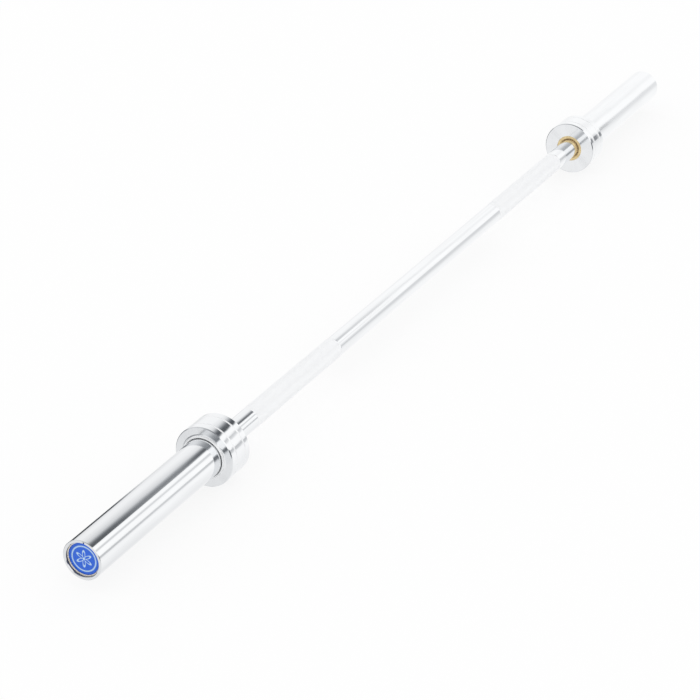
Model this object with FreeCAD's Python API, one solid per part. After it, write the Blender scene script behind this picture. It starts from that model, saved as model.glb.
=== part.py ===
import FreeCAD, Part
import math
import os

# Short olympic barbell: a knurled steel shaft that carries a turning sleeve at each end.
# X runs along the bar, Z is up, and the origin is the middle of the bar, on its axis.
# Lengths are in millimetres. Every piece of a sleeve is worked out for the right-hand end
# and mirrored to the left.

# Whole bar
BAR_LENGTH = 1676.0
LOADING_LENGTH = 265.0
COLLAR_WIDTH = 41.5

# Fits
RUNNING_CLEARANCE = 0.06    # radial, journal in its bushings
PRESS_CLEARANCE = 0.02      # radial, between pieces pressed together
WASHER_CLEARANCE = 0.3      # radial, round a washer
CAP_CLEARANCE = 0.2         # radial, round the end cap and its snap ring
RING_SIDE_CLEARANCE = 0.05  # axial, each side of a ring in its groove
END_FLOAT = 0.3             # axial play of a sleeve on the shaft, each way
CUT_OVERRUN = 1.0

# Shaft
GRIP_DIAMETER = 28.0
SHOULDER_STEP = 1.5         # radial drop from the grip to the journal
SHOULDER_CHAMFER = 0.4
KNURL_HEIGHT = 0.15
KNURL_LENGTH = 218.0
KNURL_SETBACK = 66.5        # plain neck between a collar and its knurled band
KNURL_RUNOUT = 0.6
SHAFT_CHAMFER = 1.2
SHAFT_TAIL = 4.0            # journal left outside the retaining ring
SHAFT_END_GAP = 2.0         # room between the shaft's end and the end cap

# Sleeve tube
SLEEVE_DIAMETER = 50.0
SLEEVE_CHAMFER = 0.5
SPIGOT_STEP = 1.0           # radial drop to the spigot that the collar is pressed on
MOUTH_WALL = 3.7            # wall round the end cap
MOUTH_CHAMFER = 0.6
CAP_SEAT = 3.3              # radial width of the step that the end cap sits on
BUSHING_STEP = 1.5          # radial width of the steps that stop the bushings

# Collar
COLLAR_DIAMETER = 78.4
COLLAR_BEVEL = 1.0
COLLAR_WEB = 10.0           # wall behind the inner face
COLLAR_GROOVE_SETBACK = 10.7
COLLAR_GROOVE_WIDTH = 2.6
COLLAR_GROOVE_FLOOR = 1.0
COLLAR_GROOVE_DEPTH = 0.35
NECK_HEIGHT = 3.3           # how far the neck stands out round the sleeve
NECK_LENGTH = 2.2
NECK_BEVEL = 1.4

# Bushings
INNER_BUSHING_LENGTH = 44.0
OUTER_BUSHING_LENGTH = 40.0
FLANGE_HEIGHT = 1.7
FLANGE_THICKNESS = 6.0
FLANGE_SETBACK = 0.3        # flange face behind the collar's inner face
RECESS_DEPTH = 5.0          # pocket in the flange for the shaft's shoulder
RECESS_GAP = 0.4            # radial, round the shaft in that pocket
RECESS_LEAD_IN = 1.7

# Washers
SHOULDER_WASHER_THICKNESS = 1.5
OUTER_WASHER_THICKNESS = 2.0
OUTER_WASHER_MARGIN = 1.0   # radial, between the outer washer and the sleeve's bore

# Retaining ring on the shaft
CIRCLIP_THICKNESS = 1.5
CIRCLIP_GROOVE_DEPTH = 0.9
CIRCLIP_BACK_WIDTH = 3.4
CIRCLIP_FRONT_WIDTH = 2.4
CIRCLIP_GAP = 3.0
CIRCLIP_LUG_RADIUS = 2.2
CIRCLIP_LUG_HOLE_DIAMETER = 2.0

# End cap, its coloured disc and its snap ring
CAP_THICKNESS = 3.0
CAP_CHAMFER = 0.4
DISC_THICKNESS = 0.6
DISC_MARGIN = 0.1           # radial, between the disc and the snap ring
SNAP_RING_SETBACK = 2.8     # sleeve end to the ring's groove
SNAP_RING_THICKNESS = 1.6
SNAP_RING_WIDTH = 2.2
SNAP_RING_GROOVE_DEPTH = 1.0
SNAP_RING_GAP = 3.0
SNAP_RING_GAP_ANGLE = 8.0   # degrees from the top, to the gap and the pry slot by it
PRY_SLOT_WIDTH = 2.0
PRY_SLOT_DEPTH = 2.6        # radial, into the sleeve's lip

# Radii, from the shaft outwards
GRIP_R = GRIP_DIAMETER / 2
KNURL_R = GRIP_R + KNURL_HEIGHT
JOURNAL_R = GRIP_R - SHOULDER_STEP
CIRCLIP_GROOVE_R = JOURNAL_R - CIRCLIP_GROOVE_DEPTH
RECESS_R = GRIP_R + RECESS_GAP
BUSHING_BORE_R = JOURNAL_R + RUNNING_CLEARANCE
WASHER_BORE_R = JOURNAL_R + WASHER_CLEARANCE

# Radii, from the sleeve inwards
SLEEVE_R = SLEEVE_DIAMETER / 2
SPIGOT_R = SLEEVE_R - SPIGOT_STEP
MOUTH_R = SLEEVE_R - MOUTH_WALL
SNAP_GROOVE_R = MOUTH_R + SNAP_RING_GROOVE_DEPTH
SNAP_RING_R = SNAP_GROOVE_R - CAP_CLEARANCE
SNAP_RING_BORE_R = SNAP_RING_R - SNAP_RING_WIDTH
DISC_R = SNAP_RING_BORE_R - DISC_MARGIN
SEAT_R = MOUTH_R - CAP_SEAT
BUSHING_R = SEAT_R - PRESS_CLEARANCE
MIDDLE_BORE_R = SEAT_R - BUSHING_STEP

# Radii of the collar
COLLAR_R = COLLAR_DIAMETER / 2
NECK_R = SLEEVE_R + NECK_HEIGHT
SOCKET_R = SPIGOT_R + PRESS_CLEARANCE
FLANGE_R = BUSHING_R + FLANGE_HEIGHT
FLANGE_POCKET_R = FLANGE_R + PRESS_CLEARANCE

# Places along the bar, from the collar's inner face outwards
SLEEVE_END_X = BAR_LENGTH / 2
COLLAR_OUTER_X = SLEEVE_END_X - LOADING_LENGTH
COLLAR_INNER_X = COLLAR_OUTER_X - COLLAR_WIDTH
NECK_END_X = COLLAR_OUTER_X + NECK_LENGTH
WEB_X = COLLAR_INNER_X + COLLAR_WEB
KNURL_OUTER_X = COLLAR_INNER_X - KNURL_SETBACK
KNURL_INNER_X = KNURL_OUTER_X - KNURL_LENGTH
FLANGE_X = COLLAR_INNER_X + FLANGE_SETBACK
FLANGE_BACK_X = FLANGE_X + FLANGE_THICKNESS
RECESS_X = FLANGE_X + RECESS_DEPTH
SHOULDER_WASHER_X = RECESS_X - SHOULDER_WASHER_THICKNESS
SHOULDER_X = SHOULDER_WASHER_X - END_FLOAT
INNER_STEP_X = FLANGE_X + INNER_BUSHING_LENGTH

# Places along the bar, from the sleeve's end inwards
SNAP_GROOVE_OUTER_X = SLEEVE_END_X - SNAP_RING_SETBACK
SNAP_RING_OUTER_X = SNAP_GROOVE_OUTER_X - RING_SIDE_CLEARANCE
SNAP_RING_INNER_X = SNAP_RING_OUTER_X - SNAP_RING_THICKNESS
CAP_FACE_X = SNAP_RING_INNER_X - RING_SIDE_CLEARANCE
CAP_SEAT_X = CAP_FACE_X - CAP_THICKNESS
SHAFT_END_X = CAP_SEAT_X - SHAFT_END_GAP
CIRCLIP_GROOVE_OUTER_X = SHAFT_END_X - SHAFT_TAIL
CIRCLIP_OUTER_X = CIRCLIP_GROOVE_OUTER_X - RING_SIDE_CLEARANCE
CIRCLIP_INNER_X = CIRCLIP_OUTER_X - CIRCLIP_THICKNESS
CIRCLIP_GROOVE_INNER_X = CIRCLIP_INNER_X - RING_SIDE_CLEARANCE
OUTER_WASHER_X = CIRCLIP_INNER_X - OUTER_WASHER_THICKNESS
OUTER_BUSHING_END_X = OUTER_WASHER_X - END_FLOAT
OUTER_STEP_X = OUTER_BUSHING_END_X - OUTER_BUSHING_LENGTH

ORIGIN = FreeCAD.Vector(0, 0, 0)
X_AXIS = FreeCAD.Vector(1, 0, 0)
FULL_TURN = 360


def at(x, radius):
    """A point of a turned outline: a place along the bar and a radius from its axis."""
    return FreeCAD.Vector(x, 0, radius)


def turned_polygon(points):
    """The solid that a closed outline of straight edges makes in a full turn about the bar's axis."""
    outline = Part.Face(Part.makePolygon(points + points[:1]))
    return outline.revolve(ORIGIN, X_AXIS, FULL_TURN)


def plain_ring(start_x, end_x, bore_r, outer_r):
    """A ring of rectangular section."""
    return turned_polygon([at(start_x, bore_r), at(start_x, outer_r), at(end_x, outer_r), at(end_x, bore_r)])


def plate_disc(start_x, thickness, radius, y, z):
    """A flat round blank square to the bar, with its centre at y, z."""
    return Part.makeCylinder(radius, thickness, FreeCAD.Vector(start_x, y, z), X_AXIS)


def gap_cutter(start_x, thickness, width, reach):
    """A block that opens a ring at its top, from the axis out to a reach."""
    corner = FreeCAD.Vector(start_x - CUT_OVERRUN, -width / 2, 0)
    return Part.makeBox(thickness + 2 * CUT_OVERRUN, width, reach + CUT_OVERRUN, corner)


def shaft():
    """The bar itself: plain and knurled grip, a shoulder and journal at each end, and the ring grooves."""
    right_half = [
        at(KNURL_INNER_X, GRIP_R),
        at(KNURL_INNER_X + KNURL_RUNOUT, KNURL_R),
        at(KNURL_OUTER_X - KNURL_RUNOUT, KNURL_R),
        at(KNURL_OUTER_X, GRIP_R),
        at(SHOULDER_X - SHOULDER_CHAMFER, GRIP_R),
        at(SHOULDER_X, GRIP_R - SHOULDER_CHAMFER),
        at(SHOULDER_X, JOURNAL_R),
        at(CIRCLIP_GROOVE_INNER_X, JOURNAL_R),
        at(CIRCLIP_GROOVE_INNER_X, CIRCLIP_GROOVE_R),
        at(CIRCLIP_GROOVE_OUTER_X, CIRCLIP_GROOVE_R),
        at(CIRCLIP_GROOVE_OUTER_X, JOURNAL_R),
        at(SHAFT_END_X - SHAFT_CHAMFER, JOURNAL_R),
        at(SHAFT_END_X, JOURNAL_R - SHAFT_CHAMFER),
        at(SHAFT_END_X, 0),
    ]
    left_half = [at(-point.x, point.z) for point in reversed(right_half)]
    return turned_polygon(left_half + right_half)


def pry_slot():
    """A block that cuts the slot in the sleeve's lip through which a tool reaches the snap ring's end."""
    corner = FreeCAD.Vector(SNAP_GROOVE_OUTER_X, -PRY_SLOT_WIDTH / 2, MOUTH_R - CUT_OVERRUN)
    length = SNAP_RING_SETBACK + CUT_OVERRUN
    block = Part.makeBox(length, PRY_SLOT_WIDTH, PRY_SLOT_DEPTH + CUT_OVERRUN, corner)
    return block.rotated(ORIGIN, X_AXIS, SNAP_RING_GAP_ANGLE)


def sleeve_tube():
    """The tube that plates slide on: spigot for the collar, bushing seats, and the mouth for the end cap."""
    tube = turned_polygon([
        at(WEB_X, SPIGOT_R),
        at(NECK_END_X, SPIGOT_R),
        at(NECK_END_X, SLEEVE_R),
        at(SLEEVE_END_X - SLEEVE_CHAMFER, SLEEVE_R),
        at(SLEEVE_END_X, SLEEVE_R - SLEEVE_CHAMFER),
        at(SLEEVE_END_X, MOUTH_R + MOUTH_CHAMFER),
        at(SLEEVE_END_X - MOUTH_CHAMFER, MOUTH_R),
        at(SNAP_GROOVE_OUTER_X, MOUTH_R),
        at(SNAP_GROOVE_OUTER_X, SNAP_GROOVE_R),
        at(CAP_FACE_X, SNAP_GROOVE_R),
        at(CAP_FACE_X, MOUTH_R),
        at(CAP_SEAT_X, MOUTH_R),
        at(CAP_SEAT_X, SEAT_R),
        at(OUTER_STEP_X, SEAT_R),
        at(OUTER_STEP_X, MIDDLE_BORE_R),
        at(INNER_STEP_X, MIDDLE_BORE_R),
        at(INNER_STEP_X, SEAT_R),
        at(WEB_X, SEAT_R),
    ])
    return tube.cut(pry_slot()).removeSplitter()


def collar_groove(x):
    """Outline of a shallow groove with sloping sides, turned into the collar's rim at x."""
    half_width = COLLAR_GROOVE_WIDTH / 2
    half_floor = COLLAR_GROOVE_FLOOR / 2
    floor_r = COLLAR_R - COLLAR_GROOVE_DEPTH
    return [
        at(x - half_width, COLLAR_R),
        at(x - half_floor, floor_r),
        at(x + half_floor, floor_r),
        at(x + half_width, COLLAR_R),
    ]


def collar():
    """The stop for the plates: grooved rim, bevelled neck, socket for the tube and pocket for the flange."""
    inner_side = [
        at(COLLAR_INNER_X, FLANGE_POCKET_R),
        at(COLLAR_INNER_X, COLLAR_R - COLLAR_BEVEL),
        at(COLLAR_INNER_X + COLLAR_BEVEL, COLLAR_R),
    ]
    inner_groove = collar_groove(COLLAR_INNER_X + COLLAR_GROOVE_SETBACK)
    outer_groove = collar_groove(COLLAR_OUTER_X - COLLAR_GROOVE_SETBACK)
    outer_side = [
        at(COLLAR_OUTER_X - COLLAR_BEVEL, COLLAR_R),
        at(COLLAR_OUTER_X, COLLAR_R - COLLAR_BEVEL),
        at(COLLAR_OUTER_X, NECK_R),
        at(NECK_END_X - NECK_BEVEL, NECK_R),
        at(NECK_END_X, NECK_R - NECK_BEVEL),
    ]
    bore = [
        at(NECK_END_X, SOCKET_R),
        at(WEB_X, SOCKET_R),
        at(WEB_X, SEAT_R),
        at(FLANGE_BACK_X, SEAT_R),
        at(FLANGE_BACK_X, FLANGE_POCKET_R),
    ]
    return turned_polygon(inner_side + inner_groove + outer_groove + outer_side + bore)


def inner_bushing():
    """Flanged bronze bushing: its flange shows in the collar's inner face and holds the shaft's shoulder."""
    return turned_polygon([
        at(FLANGE_X, RECESS_R + RECESS_LEAD_IN),
        at(FLANGE_X, FLANGE_R),
        at(FLANGE_BACK_X, FLANGE_R),
        at(FLANGE_BACK_X, BUSHING_R),
        at(INNER_STEP_X, BUSHING_R),
        at(INNER_STEP_X, BUSHING_BORE_R),
        at(RECESS_X, BUSHING_BORE_R),
        at(RECESS_X, RECESS_R),
        at(FLANGE_X + RECESS_LEAD_IN, RECESS_R),
    ])


def outer_bushing():
    """Plain bronze bushing near the end of the sleeve."""
    return plain_ring(OUTER_STEP_X, OUTER_BUSHING_END_X, BUSHING_BORE_R, BUSHING_R)


def shoulder_washer():
    """Washer in the flange's pocket that takes the push of the shaft's shoulder."""
    return plain_ring(SHOULDER_WASHER_X, RECESS_X, WASHER_BORE_R, RECESS_R - WASHER_CLEARANCE)


def outer_thrust_washer():
    """Washer between the outer bushing and the retaining ring, which keeps the sleeve on."""
    return plain_ring(OUTER_WASHER_X, CIRCLIP_INNER_X, WASHER_BORE_R, SEAT_R - OUTER_WASHER_MARGIN)


def shaft_retaining_ring():
    """Sprung ring in the shaft's groove: widest opposite its gap, with a drilled lug each side of it."""
    bore_r = CIRCLIP_GROOVE_R + PRESS_CLEARANCE
    blank_r = bore_r + (CIRCLIP_BACK_WIDTH + CIRCLIP_FRONT_WIDTH) / 2
    blank_drop = (CIRCLIP_BACK_WIDTH - CIRCLIP_FRONT_WIDTH) / 2
    lug_reach = bore_r + CIRCLIP_LUG_RADIUS
    lug_y = CIRCLIP_GAP / 2 + CIRCLIP_LUG_RADIUS
    lug_z = math.sqrt(lug_reach ** 2 - lug_y ** 2)

    def disc(radius, y, z):
        return plate_disc(CIRCLIP_INNER_X, CIRCLIP_THICKNESS, radius, y, z)

    lugs = [disc(CIRCLIP_LUG_RADIUS, y, lug_z) for y in (-lug_y, lug_y)]
    holes = [disc(CIRCLIP_LUG_HOLE_DIAMETER / 2, y, lug_z) for y in (-lug_y, lug_y)]
    bore = disc(bore_r, 0, 0)
    gap = gap_cutter(CIRCLIP_INNER_X, CIRCLIP_THICKNESS, CIRCLIP_GAP, lug_reach + CIRCLIP_LUG_RADIUS)
    blank = disc(blank_r, 0, -blank_drop).fuse(lugs)
    return blank.cut(holes + [bore, gap]).removeSplitter()


def end_cap():
    """Steel disc that closes the sleeve's mouth, on the step behind the snap ring."""
    cap_r = MOUTH_R - CAP_CLEARANCE
    return turned_polygon([
        at(CAP_SEAT_X, 0),
        at(CAP_SEAT_X, cap_r),
        at(CAP_FACE_X - CAP_CHAMFER, cap_r),
        at(CAP_FACE_X, cap_r - CAP_CHAMFER),
        at(CAP_FACE_X, 0),
    ])


def end_disc():
    """Thin coloured disc on the end cap, inside the snap ring."""
    return plate_disc(CAP_FACE_X, DISC_THICKNESS, DISC_R, 0, 0)


def end_cap_snap_ring():
    """Flat wire ring in the mouth's groove that holds the end cap in, open near the top."""
    ring = plain_ring(SNAP_RING_INNER_X, SNAP_RING_OUTER_X, SNAP_RING_BORE_R, SNAP_RING_R)
    gap = gap_cutter(SNAP_RING_INNER_X, SNAP_RING_THICKNESS, SNAP_RING_GAP, SNAP_RING_R)
    return ring.cut(gap.rotated(ORIGIN, X_AXIS, SNAP_RING_GAP_ANGLE))


SLEEVE_PIECES = {
    "sleeve_tube": sleeve_tube,
    "collar": collar,
    "inner_bushing": inner_bushing,
    "outer_bushing": outer_bushing,
    "shoulder_washer": shoulder_washer,
    "outer_thrust_washer": outer_thrust_washer,
    "shaft_retaining_ring": shaft_retaining_ring,
    "end_cap": end_cap,
    "end_disc": end_disc,
    "end_cap_snap_ring": end_cap_snap_ring,
}


def save(name, shape):
    """Write one piece, after a look that it is a single sound solid."""
    if len(shape.Solids) != 1 or not shape.isValid():
        raise ValueError(f"{name} is not one sound solid")
    solid = shape.Solids[0]
    solid.exportStep(os.path.join("parts", name + ".step"))
    print(f"{name}: {solid.Volume:.1f} mm3")


def main():
    os.makedirs("parts", exist_ok=True)
    save("shaft", shaft())
    for name, make in SLEEVE_PIECES.items():
        right = make()
        save(name + "_right", right)
        save(name + "_left", right.mirror(ORIGIN, X_AXIS))


main()
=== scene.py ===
import math

import bmesh
import bpy
from bpy.props import FloatProperty, FloatVectorProperty, IntProperty, PointerProperty
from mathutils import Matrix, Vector


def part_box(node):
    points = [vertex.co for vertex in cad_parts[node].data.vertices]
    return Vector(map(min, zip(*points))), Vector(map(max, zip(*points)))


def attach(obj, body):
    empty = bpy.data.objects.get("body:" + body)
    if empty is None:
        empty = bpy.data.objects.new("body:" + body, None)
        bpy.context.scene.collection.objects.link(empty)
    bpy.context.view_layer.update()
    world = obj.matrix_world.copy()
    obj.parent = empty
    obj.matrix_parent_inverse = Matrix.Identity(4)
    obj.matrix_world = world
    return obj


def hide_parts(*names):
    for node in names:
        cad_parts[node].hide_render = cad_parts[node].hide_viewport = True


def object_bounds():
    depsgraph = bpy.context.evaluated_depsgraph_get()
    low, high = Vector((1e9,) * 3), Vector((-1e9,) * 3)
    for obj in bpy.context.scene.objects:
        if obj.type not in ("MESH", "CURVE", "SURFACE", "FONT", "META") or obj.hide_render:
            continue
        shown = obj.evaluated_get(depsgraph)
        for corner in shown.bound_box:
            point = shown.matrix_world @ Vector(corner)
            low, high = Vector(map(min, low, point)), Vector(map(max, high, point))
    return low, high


# Short olympic barbell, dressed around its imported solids.
# X runs along the bar, Z is up, the origin is the middle of the bar, and lengths are in metres.
# Each piece of a sleeve is turned for the right-hand end, and a copy is turned round to the left.

bl_info = {
    "name": "Olympic Barbell",
    "version": (1, 0, 0),
    "blender": (4, 5, 0),
    "location": "3D View > Sidebar > Barbell",
    "description": "Builds a short olympic barbell around its packed solids",
    "category": "Add Mesh",
}

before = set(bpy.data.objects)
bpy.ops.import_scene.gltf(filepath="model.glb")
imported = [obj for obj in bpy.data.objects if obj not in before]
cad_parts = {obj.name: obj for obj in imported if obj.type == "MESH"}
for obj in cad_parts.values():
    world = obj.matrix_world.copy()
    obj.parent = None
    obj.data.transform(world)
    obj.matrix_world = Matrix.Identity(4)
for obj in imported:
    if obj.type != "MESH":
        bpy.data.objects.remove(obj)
CAD_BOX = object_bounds()
QUARTER_TURN = math.pi / 2
HALF_TURN = math.pi
FULL_TURN = 2 * math.pi
SIDES = ("left", "right")
MERGE_DISTANCE = 1e-6
WHITE = (1.0, 1.0, 1.0, 1.0)


def extent(node):
    """Inner end, outer end and outer radius of a right-hand solid of the frame."""
    low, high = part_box(node)
    return low.x, high.x, max(high.y, high.z, -low.y, -low.z)


COLLAR_INNER_X, NECK_END_X, COLLAR_R = extent("collar_right")
SPIGOT_X, SLEEVE_END_X, SLEEVE_R = extent("sleeve_tube_right")
FLANGE_X, INNER_STEP_X, FLANGE_R = extent("inner_bushing_right")
OUTER_STEP_X, _, BUSHING_R = extent("outer_bushing_right")
SHOULDER_WASHER_X, RECESS_X, _ = extent("shoulder_washer_right")
CLIP_INNER_X, CLIP_OUTER_X, _ = extent("shaft_retaining_ring_right")
CAP_SEAT_X, _, _ = extent("end_cap_right")
DISC_BACK_X, DISC_FACE_X, DISC_R = extent("end_disc_right")
RING_INNER_X, RING_OUTER_X, RING_R = extent("end_cap_snap_ring_right")
_, SHAFT_END_X, KNURL_CREST_R = extent("shaft")


def length(name, description, default):
    """A size in metres for the sidebar."""
    return FloatProperty(
        name=name, description=description, default=default, min=0.0, unit="LENGTH", precision=5
    )


def turn(name, description, degrees):
    """An angle for the sidebar."""
    return FloatProperty(name=name, description=description, default=math.radians(degrees), subtype="ANGLE")


def count(name, description, default, least):
    """A whole number for the sidebar."""
    return IntProperty(name=name, description=description, default=default, min=least)


def triple(name, description, default, kind):
    """A place or a direction for the sidebar."""
    return FloatVectorProperty(name=name, description=description, default=default, subtype=kind)


def color(name, description, default):
    """A finish's colour for the sidebar."""
    tint = (*default, 1.0)
    return FloatVectorProperty(
        name=name, description=description, default=tint, size=4, min=0.0, max=1.0, subtype="COLOR"
    )


class BarbellSizes(bpy.types.PropertyGroup):
    """Sizes that the frame's boxes don't give."""

    ring_segments: count("Segments", "Facets round a sleeve or collar", 192, 48)
    edge_break: length("Edge break", "Rounding of turned edges", 0.00016)
    side_clearance: length("Ring clearance", "Room each side of a ring in its groove", 0.00005)

    grip_radius: length("Grip radius", "Plain stretches of the shaft", 0.014)
    shoulder_step: length("Shoulder step", "Drop from the grip to the journal", 0.0015)
    shoulder_chamfer: length("Shoulder chamfer", "Bevel at the shaft's shoulder", 0.0004)
    end_float: length("End float", "Play of a sleeve along the shaft", 0.0003)
    clip_groove_depth: length("Clip groove", "Depth of the retaining ring's groove", 0.0009)
    shaft_chamfer: length("Shaft chamfer", "Bevel at the shaft's end", 0.0012)

    knurl_setback: length("Knurl setback", "Plain neck between a collar and its knurl", 0.0665)
    knurl_length: length("Knurl length", "Length of a knurled band", 0.218)
    knurl_depth: length("Knurl depth", "Height of a diamond above its grooves", 0.0002)
    knurl_bank: length("Knurl bank", "Width of a diamond's sloping side", 0.0004)
    knurl_runout: length("Knurl runout", "Slope from the plain shaft to the knurl's root", 0.0004)
    knurl_columns: count("Knurl columns", "Diamonds round the shaft", 56, 24)
    knurl_helix: turn("Knurl helix", "Angle of the grooves to the bar", 30)

    sleeve_chamfer: length("Sleeve chamfer", "Bevel at the sleeve's end", 0.0005)
    spigot_step: length("Spigot step", "Drop to the spigot inside the collar", 0.001)
    mouth_wall: length("Mouth wall", "Wall round the end cap", 0.0037)
    mouth_chamfer: length("Mouth chamfer", "Bevel inside the sleeve's mouth", 0.0006)
    ring_groove_depth: length("Ring groove", "Depth of the snap ring's groove", 0.001)
    cap_seat: length("Cap seat", "Width of the step behind the end cap", 0.0033)
    bushing_step: length("Bushing step", "Step that stops a bushing", 0.0015)

    collar_width: length("Collar width", "Face to face, without the neck", 0.0415)
    collar_bevel: length("Collar bevel", "Bevel at the collar's rim", 0.001)
    collar_web: length("Collar web", "Wall behind the collar's inner face", 0.01)
    groove_setback: length("Groove setback", "Collar face to the middle of a groove", 0.0107)
    groove_width: length("Groove width", "Width of a groove in the rim", 0.0026)
    groove_depth: length("Groove depth", "Depth of a groove in the rim", 0.00035)
    neck_height: length("Neck height", "How far the neck stands out round the sleeve", 0.0033)
    neck_round: length("Neck rounding", "Radius of the bead round the neck", 0.00165)
    neck_hollow: length("Neck hollow", "Width of the hollow between the bead and the face", 0.0024)
    neck_land: length("Neck land", "Collar face to the start of the bead", 0.0005)
    fit: length("Press fit", "Room round a pressed piece", 0.00002)

    flange_thickness: length("Flange thickness", "Bushing flange in the collar's face", 0.006)
    recess_gap: length("Recess gap", "Room round the shaft in the flange", 0.0004)
    recess_lead_in: length("Lead-in", "Bevel at the mouth of the bushing", 0.0017)
    bore_clearance: length("Bore clearance", "Room round the journal in a bushing", 0.00006)

    ring_width: length("Ring width", "Snap ring, across its wire", 0.0022)
    ring_gap: length("Ring gap", "Opening of the snap ring", 0.003)
    gap_angle: turn("Gap angle", "Turn of the gap from the top", 8)
    slot_width: length("Slot width", "Pry slot in the sleeve's lip, by the gap", 0.002)
    slot_depth: length("Slot depth", "How far the pry slot goes into the lip", 0.0026)
    disc_round: length("Disc rounding", "Soft rim of the blue disc", 0.0004)


class BarbellFinishes(bpy.types.PropertyGroup):
    """Colours of the finishes."""

    chrome: color("Chrome", "Bright plating", (0.974, 0.984, 0.996))
    satin: color("Satin chrome", "Knurled bands, grooves and beads", (0.976, 0.984, 0.995))
    faced: color("Faced chrome", "Turned faces", (0.932, 0.942, 0.954))
    # Bore colour: unplated steel, darkened further with painted shade for the recess inside the mouth
    bare_steel_and_shade: color("Bare steel", "Unplated bores", (0.23, 0.235, 0.245))
    plain_steel_and_root_shade: color("Plain steel", "Washers and end caps", (0.56, 0.565, 0.57))
    bronze: color("Bronze", "Bushings", (0.90, 0.72, 0.39))
    bronze_tarnish: color("Dulled bronze", "Darker patches on the bushings", (0.83, 0.64, 0.33))
    # Painted shade: a darker brown for the lead-in round the shaft, where shade falls between the bushing
    # and the shaft
    bronze_painted_shade: color("Shaded bronze", "Lead-in round the shaft", (0.84, 0.60, 0.30))
    spring: color("Spring wire", "Rings that hold the end caps", (0.92, 0.86, 0.76))
    disc: color("Disc", "Enamel of the end discs", (0.016, 0.135, 0.76))
    disc_print: color("Disc print", "Pale ornament on the end discs", (0.50, 0.70, 0.90))


class BarbellStudio(bpy.types.PropertyGroup):
    """Camera, floor and light."""

    camera_place: triple("Camera", "Where the camera stands", (-2.8257, -1.36248, 1.44446), "TRANSLATION")
    camera_aim: triple("Aim", "Which way the camera looks", (0.79538, 0.4123, -0.44428), "DIRECTION")
    lens: FloatProperty(name="Lens", description="Focal length in millimetres", default=130.167, min=1.0)
    sensor: FloatProperty(name="Sensor", description="Sensor width in millimetres", default=36.0, min=1.0)
    floor_reach: length("Floor reach", "How far the floor runs out", 40.0)
    floor: color("Floor", "Pale floor under the bar", (0.97, 0.97, 0.97))


# Turning and shaping


def start_piece(name):
    """Name the new primitive, and put its place and turn into its mesh."""
    piece = bpy.context.object
    piece.name = name
    piece.data.name = name
    bpy.ops.object.transform_apply(location=True, rotation=True, scale=True)
    return piece


def select_edges(piece, chosen):
    """In edit mode, select the edges that a test picks."""
    bpy.ops.mesh.select_mode(type="EDGE")
    bpy.ops.mesh.select_all(action="DESELECT")
    net = bmesh.from_edit_mesh(piece.data)
    for edge in net.edges:
        if chosen(edge):
            edge.select_set(True)
    bmesh.update_edit_mesh(piece.data)


def carry_ring(outline):
    """Carry the selected ring of vertices along an outline of places and radii."""
    place, radius = outline[0]
    for next_place, next_radius in outline[1:]:
        growth = next_radius / radius
        bpy.ops.mesh.extrude_region_move(TRANSFORM_OT_translate={"value": (next_place - place, 0, 0)})
        bpy.ops.transform.resize(value=(1, growth, growth), center_override=(next_place, 0, 0))
        place, radius = next_place, next_radius


def turned_piece(name, outline, segments, ends="joined"):
    """Metal turned on a lathe. Its ends are joined into a ring, capped at the last point, or left open."""
    place, radius = outline[0]
    bpy.ops.object.select_all(action="DESELECT")
    bpy.ops.mesh.primitive_circle_add(
        vertices=segments, radius=radius, location=(place, 0, 0), rotation=(0, QUARTER_TURN, 0)
    )
    piece = start_piece(name)
    bpy.ops.object.mode_set(mode="EDIT")
    bpy.ops.mesh.select_mode(type="VERT")
    bpy.ops.mesh.select_all(action="SELECT")
    carry_ring(outline + outline[:1] if ends == "joined" else outline)
    if ends == "capped":
        bpy.ops.mesh.edge_face_add()
    close_up(piece)
    return piece


def close_up(piece):
    """Merge doubled vertices, turn all faces outwards and leave edit mode."""
    bpy.ops.mesh.select_all(action="SELECT")
    bpy.ops.mesh.remove_doubles(threshold=MERGE_DISTANCE)
    bpy.ops.mesh.normals_make_consistent(inside=False)
    bpy.ops.object.mode_set(mode="OBJECT")


def apply_modifier(piece, kind, **settings):
    """Add a modifier, set it up and apply it."""
    modifier = piece.modifiers.new(kind.lower(), kind)
    for name, value in settings.items():
        setattr(modifier, name, value)
    bpy.context.view_layer.objects.active = piece
    bpy.ops.object.modifier_apply(modifier=modifier.name)


def break_edges(piece, width, segments=3):
    """Round the turned edges, and keep long faces true beside them."""
    apply_modifier(
        piece, "BEVEL", width=width, segments=segments, limit_method="ANGLE", angle_limit=math.radians(25)
    )
    bpy.ops.object.shade_smooth()
    apply_modifier(piece, "WEIGHTED_NORMAL", mode="FACE_AREA", weight=100, keep_sharp=True)


def arc(center, radius, start, end, steps):
    """Points of an outline along an arc. The angle is 0 along the bar and a quarter turn outwards."""
    angles = [start + (end - start) * step / steps for step in range(steps + 1)]
    return [(center[0] + radius * math.cos(a), center[1] + radius * math.sin(a)) for a in angles]


def pick(piece):
    """Select one piece alone."""
    bpy.ops.object.select_all(action="DESELECT")
    piece.select_set(True)
    bpy.context.view_layer.objects.active = piece


def turned_round(piece, name):
    """A copy of a right-hand piece for the left-hand end, with a mesh of its own."""
    pick(piece)
    bpy.ops.object.duplicate(linked=False)
    bpy.ops.transform.rotate(value=HALF_TURN, orient_axis="Z", center_override=(0, 0, 0))
    return start_piece(name)


def lean(piece, angle):
    """Turn a piece about the bar, so that its top moves towards the near side."""
    pick(piece)
    bpy.ops.transform.rotate(value=-angle, orient_axis="X", center_override=(0, 0, 0))
    bpy.ops.object.transform_apply(location=True, rotation=True, scale=True)


def finish_pair(right, name, node):
    """Name a right-hand piece, copy it to the left, and seat both on their sleeves."""
    right.name = name + "_right"
    right.data.name = right.name
    left = turned_round(right, name + "_left")
    seat_pair(left, right, node)
    return left, right


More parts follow.
